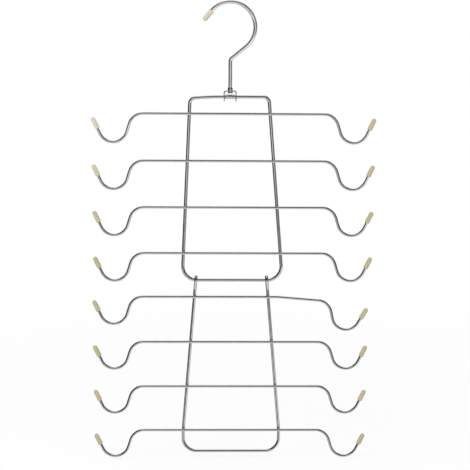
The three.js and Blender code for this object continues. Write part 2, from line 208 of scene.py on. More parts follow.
# %% White tent
FLOOR_GREY, GREY_FROM, GREY_TO = "#E4E4E4", -0.35, -0.9
world = bpy.data.worlds.new("white_tent")
scene.world = world
tree = empty_tree(world)
ray = add(tree, "ShaderNodeLightPath")
direction = add(tree, "ShaderNodeTexCoord").outputs["Generated"]
upwards = add(tree, "ShaderNodeSeparateXYZ", {0: direction}).outputs[2]
to_floor = add(tree, "ShaderNodeMapRange", {0: upwards, 1: GREY_FROM, 2: GREY_TO},
               interpolation_type="SMOOTHSTEP")
tent = add(tree, "ShaderNodeMix", {0: to_floor.outputs[0], 6: linear("#FFFFFF"), 7: linear(FLOOR_GREY)},
           data_type="RGBA")
print("tent nodes:", len(tree.nodes))


# %% Black cards
CARD_EDGE_FROM, CARD_EDGE_TO, CARD_SIDE_FADE, MATT_LIGHT = 0.75, 1.1, 0.15, 0.6


def hang_card(room, turn, rise, half_width, half_height, darkness):
    """Darkens the room by a soft-edged card.

    It is turned in degrees from behind the object towards its right, and raised in degrees.
    """
    mapped = add(tree, "ShaderNodeMapping", {
        "Vector": direction, "Location": (0, 0, math.sin(math.radians(rise))),
        "Rotation": (0, 0, -math.radians(turn)), "Scale": (half_width, 1, half_height)},
        vector_type="TEXTURE")
    flat = add(tree, "ShaderNodeVectorMath", {0: mapped.outputs[0], 1: (1, 0, 1)}, operation="MULTIPLY")
    out = add(tree, "ShaderNodeVectorMath", {0: flat.outputs[0]}, operation="LENGTH")
    card = add(tree, "ShaderNodeMapRange", {
        0: out.outputs["Value"], 1: CARD_EDGE_FROM, 2: CARD_EDGE_TO, 3: darkness, 4: 0.0},
        interpolation_type="SMOOTHSTEP")
    ahead = add(tree, "ShaderNodeSeparateXYZ", {0: mapped.outputs[0]})
    near = add(tree, "ShaderNodeMapRange", {0: ahead.outputs[1], 1: 0.0, 2: CARD_SIDE_FADE},
               interpolation_type="SMOOTHSTEP")
    shade = add(tree, "ShaderNodeMath", {0: card.outputs[0], 1: near.outputs[0]}, operation="MULTIPLY")
    dimmed = add(tree, "ShaderNodeMix", {0: shade.outputs[0], 6: room, 7: linear("#000000")},
                 data_type="RGBA")
    return dimmed.outputs[2]


# High on the right, towards the front and behind on the left, low and high in front, behind on the
# right, level on the right, high behind on the left, and level behind, where the bars' backs see it
# Each card is turned, raised, half as wide, half as high, and as dark as its five numbers say
CARDS = [(100, 27, 1.16, 0.48, 0.80), (239, 18, 0.76, 0.67, 0.98), (301, -2, 0.75, 0.89, 0.98),
         (185, -19, 0.48, 0.21, 0.98), (172, 32, 0.40, 0.47, 0.98), (62, 7, 0.70, 0.85, 0.73),
         (131, -1, 0.71, 0.24, 0.83), (-31, 24, 0.31, 0.46, 0.61), (0, -6, 0.45, 0.38, 0.92)]
room = tent.outputs[2]
for card in CARDS:
    room = hang_card(room, *card)

shiny = add(tree, "ShaderNodeMath", {
    0: ray.outputs["Is Glossy Ray"], 1: ray.outputs["Is Transmission Ray"]}, operation="MAXIMUM")
seen = add(tree, "ShaderNodeMath", {
    0: ray.outputs["Is Camera Ray"], 1: shiny.outputs[0]}, operation="MAXIMUM")
plain = add(tree, "ShaderNodeBackground", {"Color": linear("#FFFFFF"), "Strength": MATT_LIGHT})
white = add(tree, "ShaderNodeBackground", {"Color": linear("#FFFFFF"), "Strength": 1.0})
mirrored_room = add(tree, "ShaderNodeBackground", {"Color": room, "Strength": 1.0})
shown = add(tree, "ShaderNodeMixShader", {
    0: shiny.outputs[0], 1: white.outputs[0], 2: mirrored_room.outputs[0]})
whole = add(tree, "ShaderNodeMixShader", {0: seen.outputs[0], 1: plain.outputs[0], 2: shown.outputs[0]})
add(tree, "ShaderNodeOutputWorld", {"Surface": whole.outputs[0]})
print("cards:", len(CARDS), "world nodes:", len(tree.nodes))

# %% [markdown]
# ## Floor and lamps
#
# The floor is a sheet of white paper a few millimetres below the lowest strap hook. A paper sweep
# that curves up behind would do as well, but a wide flat sheet has no bend to hide. For the camera
# it is lifted to white, and it keeps the faint shadow of the wires. Two large soft lamps light it
# all: a key lamp from the upper left, and a weaker fill from the right.

# %% Floor
# The drop is in millimetres, and the size and the reaches are in metres
FLOOR_DROP, FLOOR_SIZE = 2.6, 80.0
LIFT_NEAR, LIFT_FAR, NEAR_REACH, FAR_REACH = 0.84, 1.0, 0.2, 0.9
floor_z = cad_box[0].z - FLOOR_DROP * MM
bpy.ops.mesh.primitive_plane_add(size=FLOOR_SIZE, location=(0, 0, floor_z))
floor = bpy.context.object
floor.name = "floor_paper"
floor.visible_glossy = False
# White paper is matt and even, nearly lost in the white, and shows only a faint soft shadow
paper = bpy.data.materials.new("white_background_paper")
tree = empty_tree(paper)
ray = add(tree, "ShaderNodeLightPath")
spot = add(tree, "ShaderNodeTexCoord").outputs["Object"]
away = add(tree, "ShaderNodeVectorMath", {0: spot}, operation="LENGTH")
far = add(tree, "ShaderNodeMapRange", {
    0: away.outputs["Value"], 1: NEAR_REACH, 2: FAR_REACH, 3: LIFT_NEAR, 4: LIFT_FAR})
lift = add(tree, "ShaderNodeMath", {0: ray.outputs["Is Camera Ray"], 1: far.outputs[0]}, operation="MULTIPLY")
matt = add(tree, "ShaderNodeBsdfDiffuse", {"Color": linear("#FAFAFA")})
white = add(tree, "ShaderNodeEmission", {"Color": linear("#FFFFFF"), "Strength": 1.0})
sheet = add(tree, "ShaderNodeMixShader", {0: lift.outputs[0], 1: matt.outputs[0], 2: white.outputs[0]})
add(tree, "ShaderNodeOutputMaterial", {"Surface": sheet.outputs[0]})
floor.data.materials.append(paper)
print("floor at", round(floor_z / MM, 1), "mm")


# %% Lamps
def softbox(name, place, aim, size, power):
    """Adds a square area lamp that looks at a point."""
    lamp = bpy.data.lights.new(name, "AREA")
    lamp.shape = "SQUARE"
    lamp.size = size
    lamp.energy = power
    made = put_in_scene(name, lamp)
    made.location = place
    made.rotation_euler = (Vector(aim) - Vector(place)).to_track_quat("-Z", "Y").to_euler()
    made.visible_glossy = False
    return made


hanger_middle = (0, 0, -0.25)
softboxes = [
    softbox("key_softbox", (-1.3, -1.2, 1.1), hanger_middle, size=1.0, power=26),
    softbox("fill_softbox", (1.5, -0.9, 0.6), hanger_middle, size=0.8, power=8)]
print("lamps:", ", ".join(box.name for box in softboxes))

# %% [markdown]
# ## Bright chrome plate
#
# Steel wire is drawn through dies, which leave hair lines along it, and is then plated with nickel
# and chrome. The plate is a nearly neutral mirror, softened by the lines and by a faint ripple like
# orange peel. The lines follow the wire, so the pattern reads how far along the wire and where on
# its section a point lies, which the tree that draws the wire stores on it. Real lines lie 0.05 mm
# apart, too fine to see, so they are drawn at 0.25 mm.
#
# The other finishes differ a little. The hook's chrome is painted lighter, and a small share of it
# is matt and lit by the white tent: painted light, for the brighter reflections on the hook. The
# clip's strip is painted a darker grey, and nearly black in its bends and where its legs touch the
# rail: painted shade and dark reflections. The sleeve is satin nickel, and the welds are frosted by
# their heat. A painted mask could hold this shade too, but spots given in millimetres stay on the
# bends and at the rail.

# %% Chrome plate
LINE_SPACING, LINE_LENGTH, LINE_DEPTH, LINE_STRENGTH = 0.25, 9.0, 0.05, 0.10
RIPPLE_SIZE, RIPPLE_DEPTH, RIPPLE_STRENGTH = 1.1, 0.08, 0.12
HAZE_SIZE, CLEAR_BELOW, HAZY_ABOVE = 6.0, 0.35, 0.75
# The near black of the painted shade on the strip, and the share of each spot's reach that is fully dark
TINT_BELOW, PAINTED_SHADE_GREY, PAINTED_SHADE_CORE = 0.3, "#2E2F30", 0.4


def chrome_plate(name, shade, haze_shade, roughness, follows_wire, painted_dark_spots=(), lit_matt_share=0.0):
    """Makes a plated finish, with lines along the wire, or a brushed grain on a pressed piece.

    Each painted dark spot is an x, a height and a reach in millimetres and a darkness, and lies on
    both sides of the middle: painted shade. The lit matt share is taken off the metal, so that much
    of the surface is matt and lit by the white tent: painted light.
    """
    made = bpy.data.materials.new(name)
    tree = empty_tree(made)
    spot = add(tree, "ShaderNodeTexCoord").outputs["Object"]
    if follows_wire:
        fed = add(tree, "ShaderNodeAttribute", attribute_name="fed").outputs["Fac"]
        section = add(tree, "ShaderNodeAttribute", attribute_name="section").outputs["Vector"]
        ring = add(tree, "ShaderNodeSeparateXYZ", {0: section})
        place = add(tree, "ShaderNodeCombineXYZ", {0: fed, 1: ring.outputs[0], 2: ring.outputs[1]}).outputs[0]
    else:
        place = spot
    stretch = (1 / (LINE_LENGTH * MM), 1 / (LINE_SPACING * MM), 1 / (LINE_SPACING * MM))
    drawn = add(tree, "ShaderNodeMapping", {"Vector": place, "Scale": stretch})
    lines = add(tree, "ShaderNodeTexNoise", {"Vector": drawn.outputs[0], "Scale": 1.0, "Detail": 3.0})
    ripple = add(tree, "ShaderNodeTexNoise", {"Vector": spot, "Scale": 1 / (RIPPLE_SIZE * MM), "Detail": 2.0})
    haze = add(tree, "ShaderNodeTexNoise", {"Vector": spot, "Scale": 1 / (HAZE_SIZE * MM), "Detail": 4.0})

    line_bump = add(tree, "ShaderNodeBump", {
        "Height": lines.outputs[0], "Strength": LINE_STRENGTH, "Distance": LINE_DEPTH * MM})
    bump = add(tree, "ShaderNodeBump", {
        "Height": ripple.outputs[0], "Normal": line_bump.outputs[0],
        "Strength": RIPPLE_STRENGTH, "Distance": RIPPLE_DEPTH * MM})
    blur = add(tree, "ShaderNodeMapRange", {
        0: haze.outputs[0], 1: CLEAR_BELOW, 2: HAZY_ABOVE, 3: roughness, 4: roughness * 2})
    tone = fill_ramp(add(tree, "ShaderNodeValToRGB", {0: haze.outputs[0]}),
                     [(TINT_BELOW, shade), (HAZY_ABOVE, haze_shade)])
    coat = tone.outputs[0]
    # Painted shade: round each dark spot the plate turns nearly black, on both sides of the middle
    for x, z, reach, darkness in painted_dark_spots:
        mirrored_spot = add(tree, "ShaderNodeVectorMath", {0: spot}, operation="ABSOLUTE")
        side_on = add(tree, "ShaderNodeVectorMath", {0: mirrored_spot.outputs[0], 1: (1, 0, 1)},
                      operation="MULTIPLY")
        away = add(tree, "ShaderNodeVectorMath", {0: side_on.outputs[0], 1: (x * MM, 0, abs(z) * MM)},
                   operation="DISTANCE")
        painted_dark = add(tree, "ShaderNodeMapRange", {
            0: away.outputs["Value"], 1: reach * PAINTED_SHADE_CORE * MM, 2: reach * MM, 3: darkness, 4: 0.0},
            interpolation_type="SMOOTHSTEP")
        coat = add(tree, "ShaderNodeMix", {0: painted_dark.outputs[0], 6: coat, 7: linear(PAINTED_SHADE_GREY)},
                   data_type="RGBA").outputs[2]
    # The lit matt share takes metal away, so the tent's white lights that share: painted light
    plate = add(tree, "ShaderNodeBsdfPrincipled", {
        "Base Color": coat, "Metallic": 1.0 - lit_matt_share, "Roughness": blur.outputs[0],
        "Normal": bump.outputs[0]})
    add(tree, "ShaderNodeOutputMaterial", {"Surface": plate.outputs[0]})
    return made


# Drawn wire: sharp dark and light lines along it, slightly broken up by the lines of the die
wire_chrome = chrome_plate("bright_chrome_on_drawn_steel_wire", "#DFDFDE", "#E7E6E3", 0.05, True)
# Hook wire: the same lines, painted lighter and a little milky: painted light for its brighter reflections
hook_chrome = chrome_plate(
    "bright_chrome_painted_lighter_on_hook_wire", "#F5F4F2", "#F0EFED", 0.05, True, lit_matt_share=0.08)
# Pressed steel: small hard glints on a darker body, with a faint grain
pressed_chrome = chrome_plate("bright_chrome_on_pressed_steel", "#C9CCCF", "#D6D6D4", 0.04, False)
# Bent strip: flat mirrors painted grey, and painted nearly black in the bends and at the rail: painted shade
shaded_bend, shaded_leg = (6.2, clip_top_z - 1.3, 2.2, 0.9), (6.4, top_rail_z, 2.6, 0.6)
strip_chrome = chrome_plate(
    "bright_chrome_on_bent_steel_strip", "#AEB1B4", "#BDBEBD", 0.06, False, [shaded_bend, shaded_leg])
# Satin nickel: one broad pale sheen round the tube, without dark lines
sleeve_nickel = chrome_plate("satin_nickel_on_drawn_steel_tube", "#F2F1EF", "#F6F5F3", 0.42, False)
# Frosted welds: pale and nearly matt, a light dot where two dark wires cross
weld_chrome = chrome_plate("frosted_chrome_on_welded_steel", "#F0F1F1", "#F4F4F3", 0.40, False)
finishes = (wire_chrome, hook_chrome, pressed_chrome, strip_chrome, sleeve_nickel, weld_chrome)
print("finishes:", ", ".join(finish.name for finish in finishes))

# %% [markdown]
# ## Soft vinyl
#
# The tips are caps of soft vinyl, moulded and pushed over the wire. Vinyl is slightly see-through
# at the surface, so light softens inside it, and its skin has a fine matt grain from the mould. A
# plain beige surface would look painted, so a little light is let in under this one.
#
# The tips are painted lighter towards the top and the upper left, where the key lamp is: the hook's
# tip and those at the upper left are nearly cream, and the rest are a deeper beige. This is painted
# light. Each tip could have a finish of its own, but one finish serves them all: every tip carries a
# tint number from 0 to 1, and the colour ramp turns that into its shade.

# %% Vinyl
GRAIN_SIZE, GRAIN_DEPTH, GRAIN_STRENGTH, SMUDGE_SIZE, SMUDGE_SHARE = 0.35, 0.06, 0.25, 5.0, 0.25
VINYL_IOR, VINYL_GLOW, GLOW_DEPTH, GLOW_BY_COLOUR = 1.53, 0.15, 0.8, (1.0, 0.8, 0.5)
SMOOTHEST, ROUGHEST, CLEAN_BELOW, SMUDGED_ABOVE = 0.46, 0.6, 0.3, 0.7
# Moulded vinyl: a warm even beige with a soft wide highlight and a fine matt grain
vinyl = bpy.data.materials.new("beige_moulded_soft_vinyl")
tree = empty_tree(vinyl)
spot = add(tree, "ShaderNodeTexCoord").outputs["Object"]
tint = add(tree, "ShaderNodeAttribute", attribute_name="tint").outputs["Fac"]
# Painted light: a higher tint gives a lighter, creamier tip, towards the top and upper left
painted_light_ramp = fill_ramp(add(tree, "ShaderNodeValToRGB", {0: tint}), [
    (0.0, "#BAB08C"), (0.5, "#C9C0A6"), (1.0, "#D7CEBC")], "LINEAR")
smudge = add(tree, "ShaderNodeTexNoise", {"Vector": spot, "Scale": 1 / (SMUDGE_SIZE * MM), "Detail": 3.0})
smudged = add(tree, "ShaderNodeMix", {0: smudge.outputs[0], 6: painted_light_ramp.outputs[0], 7: linear("#AA9E79")},
              data_type="RGBA")
shade = add(tree, "ShaderNodeMix", {0: SMUDGE_SHARE, 6: painted_light_ramp.outputs[0], 7: smudged.outputs[2]},
            data_type="RGBA")
grain = add(tree, "ShaderNodeTexNoise", {"Vector": spot, "Scale": 1 / (GRAIN_SIZE * MM), "Detail": 4.0})
skin = add(tree, "ShaderNodeBump", {
    "Height": grain.outputs[0], "Strength": GRAIN_STRENGTH, "Distance": GRAIN_DEPTH * MM})
blur = add(tree, "ShaderNodeMapRange", {
    0: smudge.outputs[0], 1: CLEAN_BELOW, 2: SMUDGED_ABOVE, 3: SMOOTHEST, 4: ROUGHEST})
body = add(tree, "ShaderNodeBsdfPrincipled", {
    "Base Color": shade.outputs[2], "Roughness": blur.outputs[0], "Normal": skin.outputs[0],
    "IOR": VINYL_IOR, "Subsurface Weight": VINYL_GLOW, "Subsurface Scale": GLOW_DEPTH * MM,
    "Subsurface Radius": GLOW_BY_COLOUR})
add(tree, "ShaderNodeOutputMaterial", {"Surface": body.outputs[0]})
print("vinyl:", vinyl.name)

# %% [markdown]
# ## A bender for the wires
#
# Every wire here starts straight and is bent round formers. A small class does the same: it feeds
# a length, bends round a radius, and keeps the centreline. Curves drawn by hand could come close,
# but only the same feeds and bends as in the CAD model fall on its wires.

# %% Bender
BEND_STEP = 3.0
ACROSS = (0, 1, 0)


class Route:
    """The centreline of a wire in millimetres, with the heading of its free end."""

    def __init__(self, start, heading):
        self.points = [Vector(start)]
        self.heading = Vector(heading).normalized()

    def feed(self, length):
        self.points.append(self.points[-1] + self.heading * length)
        return self

    def bend(self, degrees, radius, axis=ACROSS):
        steps = math.ceil(abs(degrees) / BEND_STEP)
        turn = Quaternion(axis, math.radians(degrees / steps))
        spoke = Vector(axis).cross(self.heading) * -math.copysign(radius, degrees)
        centre = self.points[-1] - spoke
        for _ in range(steps):
            spoke = turn @ spoke
            self.points.append(centre + spoke)
            self.heading = turn @ self.heading
        return self

    def follow(self, corners):
        """Follows straight lines between corners, given as x, y, z and radius."""
        inset, last = 0.0, self.points[0]
        places = [Vector(c[:3]) for c in corners]
        for i, corner in enumerate(corners):
            onward = (places[i + 1] - places[i]).normalized() if i + 1 < len(corners) else self.heading
            turn = math.atan2(self.heading.cross(onward).dot(Vector(ACROSS)), self.heading.dot(onward))
            next_inset = corner[3] * math.tan(abs(turn) / 2)
            self.feed((places[i] - last).length - inset - next_inset)
            if turn:
                self.bend(math.degrees(turn), corner[3])
            inset, last = next_inset, places[i]
        return self


print("a bend of 90 degrees takes", len(Route((0, 0, 0), (1, 0, 0)).bend(90, 10).points), "points")

# %% [markdown]
# ## A tree that draws wire
#
# Geometry Nodes suit whatever follows a path. This tree sweeps a circle along the centreline and
# closes both ends. Close to each end the circle shrinks a little, as the edge of a cut wire is
# broken by tumbling. A curve with a round bevel would look the same, but this tree also stores how
# far along the wire each point lies and where it lies on the section, for the lines in the chrome.

# %% Tree helpers
def new_tree(name, inputs):
    """Makes a Geometry Nodes tree with named inputs, and gives it with its two end nodes."""
    tree = bpy.data.node_groups.new(name, "GeometryNodeTree")
    tree.interface.new_socket("Geometry", in_out="INPUT", socket_type="NodeSocketGeometry")
    for label, kind in inputs.items():
        tree.interface.new_socket(label, in_out="INPUT", socket_type="NodeSocket" + kind)
    tree.interface.new_socket("Geometry", in_out="OUTPUT", socket_type="NodeSocketGeometry")
    return tree, tree.nodes.new("NodeGroupInput"), tree.nodes.new("NodeGroupOutput")


def run_tree(source, tree, values, name):
    """Runs a tree on an object, and gives what it makes as a plain mesh object at the origin."""
    modifier = source.modifiers.new(tree.name, "NODES")
    modifier.node_group = tree
    sockets = {s.name: s.identifier for s in tree.interface.items_tree if s.in_out == "INPUT"}
    for label, value in values.items():
        modifier[sockets[label]] = value
    return harvest(source, name)


def harvest(source, name):
    """Turns an object with its modifiers into a plain mesh object, and removes the source."""
    graph = bpy.context.evaluated_depsgraph_get()
    mesh = bpy.data.meshes.new_from_object(
        source.evaluated_get(graph), preserve_all_data_layers=True, depsgraph=graph)
    bpy.data.objects.remove(source)
    mesh.name = name
    return put_in_scene(name, mesh)


# %% Wire drawing tree
END_SHARE, SIDE_CORNERS = 0.82, 4
wire_tree, given, result = new_tree("draw_wire", {
    "Diameter": "Float", "Facets": "Int", "Broken Edge": "Float", "Finish": "Material"})
path = add(wire_tree, "GeometryNodeMeshToCurve", {"Mesh": given.outputs["Geometry"]})
along = add(wire_tree, "GeometryNodeSplineParameter")
marked = add(wire_tree, "GeometryNodeStoreNamedAttribute", {
    "Geometry": path.outputs[0], "Name": "fed", "Value": along.outputs["Length"]}, data_type="FLOAT")
radius = add(wire_tree, "ShaderNodeMath", {0: given.outputs["Diameter"], 1: 0.5}, operation="MULTIPLY")
circle = add(wire_tree, "GeometryNodeCurvePrimitiveCircle", {
    "Resolution": given.outputs["Facets"], "Radius": radius.outputs[0]})
section = add(wire_tree, "GeometryNodeStoreNamedAttribute", {
    "Geometry": circle.outputs[0], "Name": "section",
    "Value": add(wire_tree, "GeometryNodeInputPosition").outputs[0]}, data_type="FLOAT_VECTOR")

whole_length = add(wire_tree, "GeometryNodeCurveLength", {0: path.outputs[0]})
left_over = add(wire_tree, "ShaderNodeMath", {0: whole_length.outputs[0], 1: along.outputs["Length"]},
                operation="SUBTRACT")
to_end = add(wire_tree, "ShaderNodeMath", {0: along.outputs["Length"], 1: left_over.outputs[0]},
             operation="MINIMUM")
taper = add(wire_tree, "ShaderNodeMapRange", {
    0: to_end.outputs[0], 1: 0.0, 2: given.outputs["Broken Edge"], 3: END_SHARE, 4: 1.0})
swept = add(wire_tree, "GeometryNodeCurveToMesh", {
    "Curve": marked.outputs[0], "Profile Curve": section.outputs[0], "Scale": taper.outputs[0],
    "Fill Caps": True})
corners = add(wire_tree, "GeometryNodeInputMeshFaceNeighbors")
is_side = add(wire_tree, "FunctionNodeCompare", {2: corners.outputs["Vertex Count"], 3: SIDE_CORNERS},
              data_type="INT", operation="LESS_EQUAL")
smooth = add(wire_tree, "GeometryNodeSetShadeSmooth", {
    "Geometry": swept.outputs[0], "Selection": is_side.outputs[0], "Shade Smooth": True})
real = add(wire_tree, "GeometryNodeRealizeInstances", {"Geometry": smooth.outputs[0]})
plated = add(wire_tree, "GeometryNodeSetMaterial", {
    "Geometry": real.outputs[0], "Material": given.outputs["Finish"]})
wire_tree.links.new(plated.outputs[0], result.inputs[0])
print("wire tree nodes:", len(wire_tree.nodes))


# %% Wire drawing
FACETS, BROKEN_EDGE = 28, 0.3


def draw_wire(name, points, diameter, finish=wire_chrome):
    """Draws a wire along a centreline given in millimetres."""
    start, end = (points[1] - points[0]).normalized(), (points[-2] - points[-1]).normalized()
    # Extra points near the ends, so that the taper covers only the broken edge
    opening = [points[0] + start * depth for depth in (0, BROKEN_EDGE, 2 * BROKEN_EDGE)]
    closing = [points[-1] + end * depth for depth in (2 * BROKEN_EDGE, BROKEN_EDGE, 0)]
    line = [*opening, *points[1:-1], *closing]
    mesh = bpy.data.meshes.new(name)
    mesh.from_pydata([p * MM for p in line], [(i, i + 1) for i in range(len(line) - 1)], [])
    return run_tree(put_in_scene(name + "_path", mesh), wire_tree, {
        "Diameter": diameter * MM, "Facets": FACETS, "Broken Edge": BROKEN_EDGE * MM, "Finish": finish}, name)


print("wires have", FACETS, "facets, and their ends are broken over", BROKEN_EDGE, "mm")


# %% [markdown]
# ## Handing pieces over
#
# Each finished piece rides on one body of the mechanism and stands in for CAD nodes. The boxes of
# both are compared as it is handed over, because a wire in a wrong place shows at once in them.

# %% Dressing
def dress(piece, body, slot, *nodes):
    """Lets a piece ride on its body in place of its CAD nodes, and prints how far their boxes differ."""
    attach(piece, body)
    if nodes:
        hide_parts(*nodes)
        low = [min(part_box(n)[0][k] for n in nodes) for k in range(3)]
        high = [max(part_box(n)[1][k] for n in nodes) for k in range(3)]
        mine = [[f(v.co[k] for v in piece.data.vertices) for k in range(3)] for f in (min, max)]
        off = max(abs(a - b) for a, b in zip(mine[0] + mine[1], low + high)) / MM
        print(f"{piece.name}: {len(piece.data.polygons)} faces, box within {off:.2f} mm of the CAD")


# %% [markdown]
# ## Hook
#
# One 4 mm wire makes the hook: a shank, a tight neck bend, a diagonal and a round bow that ends in
# a flared tail under its soft tip. Below the clip the shank's end is headed like a rivet, so that
# the hook turns but can't pull out. Pieces that are round about one line are turned: an outline of
# radius and height pairs is spun round. A screw modifier could do it, but code makes clean poles.

# %% Turned pieces
HEAD_SIDES, FITTING_SIDES, TIP_SIDES = 40, 48, 40


def piece_of(made, name):
    """Turns a mesh under construction into a piece in the scene."""
    mesh = bpy.data.meshes.new(name)
    made.to_mesh(mesh)
    made.free()
    return put_in_scene(name, mesh)


def turned(name, outline, sides, finish):
    """Spins an outline of radius and height pairs, in millimetres, about Z into one closed mesh."""
    made = bmesh.new()
    rings = []
    for r, z in outline:
        if r == 0:
            rings.append([made.verts.new((0, 0, z * MM))] * sides)
        else:
            angles = [2 * math.pi * i / sides for i in range(sides)]
            ring = [(r * MM * math.cos(a), r * MM * math.sin(a), z * MM) for a in angles]
            rings.append([made.verts.new(place) for place in ring])
    closed = outline[0][0] > 0 or outline[-1][0] > 0
    for low, high in zip(rings, rings[1:] + (rings[:1] if closed else [])):
        for i in range(sides):
            j = (i + 1) % sides
            corners = list(dict.fromkeys((low[i], low[j], high[j], high[i])))
            if len(corners) > 2:
                made.faces.new(corners).smooth = True
    bmesh.ops.recalc_face_normals(made, faces=made.faces)
    piece = piece_of(made, name)
    piece.data.materials.append(finish)
    return piece


def rounded(r, z, edge, from_degrees, steps=4):
    """Points of a quarter round of radius edge, turned by from_degrees, about a centre."""
    return [(r + edge * math.cos(math.radians(from_degrees + 90 * i / steps)),
             z + edge * math.sin(math.radians(from_degrees + 90 * i / steps))) for i in range(steps + 1)]


print("a quarter round has", len(rounded(1, 1, 1, 0)), "points")


# %% Hook wire, its head and its collar
head_top_z = clip_top_z - CLIP_THICKNESS
neck_turn = 90 - DIAGONAL_SLOPE
neck_inset = NECK_BEND * math.tan(math.radians(neck_turn / 2))
hook_start = head_top_z - HEAD_HEIGHT / 2
hook_route = (
    Route((0, 0, hook_start), (0, 0, 1))
    .feed(neck_z - neck_inset - hook_start)
    .bend(neck_turn, NECK_BEND)
    .feed(BOW_RADIUS * math.tan(math.radians(DIAGONAL_SLOPE)) - neck_inset)
    .bend(-(neck_turn + BOW_END), BOW_RADIUS)
    .feed(TIP_LENGTH - TIP_END))
hook = draw_wire("hook", hook_route.points, HOOK_WIRE, hook_chrome)

HEAD_RADIUS, HEAD_EDGE, HEAD_CHAMFER = 2.75, 0.5, 0.1
head_foot_z = head_top_z - HEAD_HEIGHT
head = turned("head", [
    (0, head_foot_z), *rounded(HEAD_RADIUS - HEAD_EDGE, head_foot_z + HEAD_EDGE, HEAD_EDGE, -90),
    (HEAD_RADIUS, head_top_z - HEAD_CHAMFER), (HEAD_RADIUS - HEAD_CHAMFER, head_top_z),
    (0, head_top_z)], HEAD_SIDES, pressed_chrome)


def join(pieces, name):
    """Joins pieces into the first one."""
    with bpy.context.temp_override(active_object=pieces[0], selected_editable_objects=pieces):
        bpy.ops.object.join()
    pieces[0].name = name
    return pieces[0]


hook = join([hook, head], "hook")
dress(hook, "hook", "hook_chrome", "hook_wire")

COLLAR_RADIUS, COLLAR_LENGTH, COLLAR_EDGE, COLLAR_PLAY = 2.68, 3.0, 0.45, 0.2
collar_bore = HOOK_WIRE / 2 + PUSH_PLAY
collar_z = clip_top_z + COLLAR_PLAY
edge_middle = COLLAR_RADIUS - COLLAR_EDGE
collar = turned("collar", [
    (collar_bore, collar_z), *rounded(edge_middle, collar_z + COLLAR_EDGE, COLLAR_EDGE, -90),
    *rounded(edge_middle, collar_z + COLLAR_LENGTH - COLLAR_EDGE, COLLAR_EDGE, 0),
    (collar_bore, collar_z + COLLAR_LENGTH)], FITTING_SIDES, pressed_chrome)
dress(collar, "hook", "fitting_chrome", "swivel_collar")

# %% [markdown]
# ## Clip and sleeve
#
# The clip is a strip of steel, pressed into an arch and drilled. It could be drawn again from its
# outline, but its CAD solid already has the right form. So a copy of that is merged into one skin,
# and only its sharp edges are rounded, as a tumbled pressing's are. The sleeve is a plain tube
# crimped round the rail, which hides the joint of the upper frame's wire.


# %% Clip
MERGE_WITHIN, FLAT_WITHIN = 0.002, 1.0
EDGE_ROUND, EDGE_STEPS, SHARP_ABOVE = 0.16, 3, 40.0


def skin_of(node, name):
    """Copies a CAD node's mesh with its doubles merged and its flat faces joined up."""
    made = bmesh.new()
    made.from_mesh(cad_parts[node].data)
    bmesh.ops.remove_doubles(made, verts=made.verts, dist=MERGE_WITHIN * MM)
    bmesh.ops.dissolve_limit(made, angle_limit=math.radians(FLAT_WITHIN), verts=made.verts, edges=made.edges)
    return piece_of(made, name)


clip = skin_of("swivel_clip", "clip_skin")
clip.data.materials.append(strip_chrome)
edges = clip.modifiers.new("broken_edges", "BEVEL")
edges.width = EDGE_ROUND * MM
edges.segments = EDGE_STEPS
edges.limit_method = "ANGLE"
edges.angle_limit = math.radians(SHARP_ABOVE)
clip.modifiers.new("flat_faces", "WEIGHTED_NORMAL").keep_sharp = True
clip.data.shade_smooth()
clip = harvest(clip, "clip")
dress(clip, "swivel_clip", "fitting_chrome", "swivel_clip")

# %% Sleeve
SLEEVE_RADIUS, SLEEVE_HALF, SLEEVE_EDGE = 2.4, 5.0, 0.2
sleeve_bore = UPPER_WIRE / 2 + PUSH_PLAY
edge_middle = SLEEVE_RADIUS - SLEEVE_EDGE
sleeve = turned("sleeve", [
    (sleeve_bore, -SLEEVE_HALF), *rounded(edge_middle, SLEEVE_EDGE - SLEEVE_HALF, SLEEVE_EDGE, -90),
    *rounded(edge_middle, SLEEVE_HALF - SLEEVE_EDGE, SLEEVE_EDGE, 0),
    (sleeve_bore, SLEEVE_HALF)], FITTING_SIDES, sleeve_nickel)
sleeve.data.transform(Matrix.Translation((0, 0, top_rail_z * MM)) @ Matrix.Rotation(math.pi / 2, 4, "Y"))
dress(sleeve, "upper_tier", "fitting_chrome", "rail_sleeve")

# %% [markdown]
# ## Frames
#
# The upper frame is one wire bent into a loop that widens downwards. The lower frame is a long U,
# and its two ends curl up behind the foot rail of the upper one, over it and down in front, so it
# hangs and swings there. Either could be built of straight rods and corner pieces, but one line fed
# and bent like the real wire has no seams, and both are drawn by the same tree.

# %% Upper frame
BUTT_GAP = 0.4
upper_route = Route((BUTT_GAP / 2, 0, top_rail_z), (1, 0, 0)).follow([
    (UPPER_TOP_MIDDLE + UPPER_TOP / 2, 0, top_rail_z, UPPER_TOP_BEND),
    (UPPER_FOOT_MIDDLE + UPPER_FOOT / 2, 0, hinge_z, UPPER_FOOT_BEND),
    (UPPER_FOOT_MIDDLE - UPPER_FOOT / 2, 0, hinge_z, UPPER_FOOT_BEND),
    (UPPER_TOP_MIDDLE - UPPER_TOP / 2, 0, top_rail_z - LEFT_CORNER_FALL, UPPER_TOP_BEND),
    (-RAIL_BEND_PLACE, 0, top_rail_z, RAIL_BEND),
    (-BUTT_GAP / 2, 0, top_rail_z, 0)])
upper_loop = draw_wire("upper_loop", upper_route.points, UPPER_WIRE)
dress(upper_loop, "upper_tier", "frame_chrome", "upper_frame")


